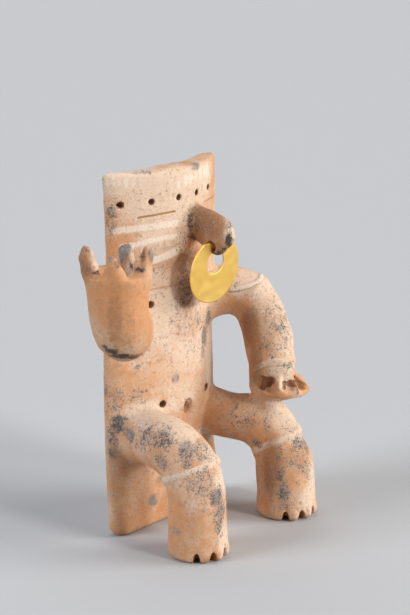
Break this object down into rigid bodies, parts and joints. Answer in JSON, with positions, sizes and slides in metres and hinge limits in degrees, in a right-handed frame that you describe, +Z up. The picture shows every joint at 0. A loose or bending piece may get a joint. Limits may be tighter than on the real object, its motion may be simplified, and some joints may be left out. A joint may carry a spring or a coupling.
{
  "type": "seated clay figure",
  "caption": "Seated slab figure of fired clay with one arm raised, one hand on the knee, pierced face and a flat gold nose ring.",
  "frame": {"origin": "on the ground within the slab's underside", "axes": "+Z up, -Y the way the figure faces, +X its own left side"},
  "size_m": [0.1925, 0.0923, 0.24],
  "materials": {
    "clay_figure": "unglazed buff clay, worn and spotted black",
    "gold_nose_ring": "hammered sheet gold"
  },
  "bodies": {
    "root": {"clay_figure": "clay_figure", "gold_nose_ring": "gold_nose_ring"}
  },
  "joints": []
}
